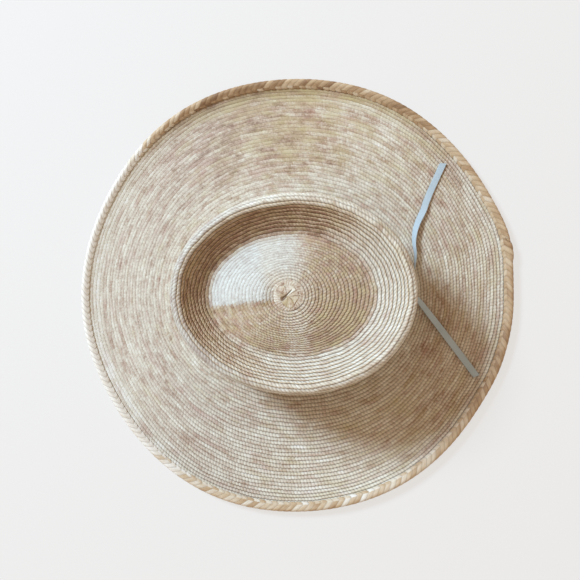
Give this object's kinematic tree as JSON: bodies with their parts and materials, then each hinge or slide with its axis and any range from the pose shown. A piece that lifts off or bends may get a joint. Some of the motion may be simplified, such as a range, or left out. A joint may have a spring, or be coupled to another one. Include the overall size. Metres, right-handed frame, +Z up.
{
  "type": "wide-brim palm hat",
  "caption": "Round wide-brim hat sewn from plaited palm straw, with an oval telescope crown, a plaited edge binding and a thin ribbon tied at the back.",
  "frame": {"origin": "on the flat the brim rests on, under the middle of the brim's outline", "axes": "+Z up through the crown, -Y towards the wearer's face, +Y towards the back where the ribbon ties, +X towards the wearer's left"},
  "size_m": [0.4006, 0.4004, 0.0979],
  "materials": {
    "palm_braid": "sewn palm straw plait, satin",
    "edge_plait": "coarse two-tone herringbone palm plait, satin",
    "steel_wire": "galvanised",
    "sweatband": "ribbed cotton band, matte",
    "ribbon": "narrow woven ribbon, matte"
  },
  "bodies": {
    "root": {"crown_button": "palm_braid", "crown_dome_braid": "palm_braid", "crown_dish_braid": "palm_braid", "crown_rim_braid": "palm_braid", "crown_side_braid": "palm_braid", "brim_break_braid": "palm_braid", "brim_inner_braid": "palm_braid", "brim_outer_braid": "palm_braid", "brim_edge_braid": "palm_braid", "edge_binding": "edge_plait", "brim_wire": "steel_wire", "wire_joiner": "steel_wire", "sweatband": "sweatband", "hatband": "ribbon", "hatband_knot": "ribbon", "hatband_tail_right": "ribbon", "hatband_tail_left": "ribbon"}
  },
  "joints": []
}
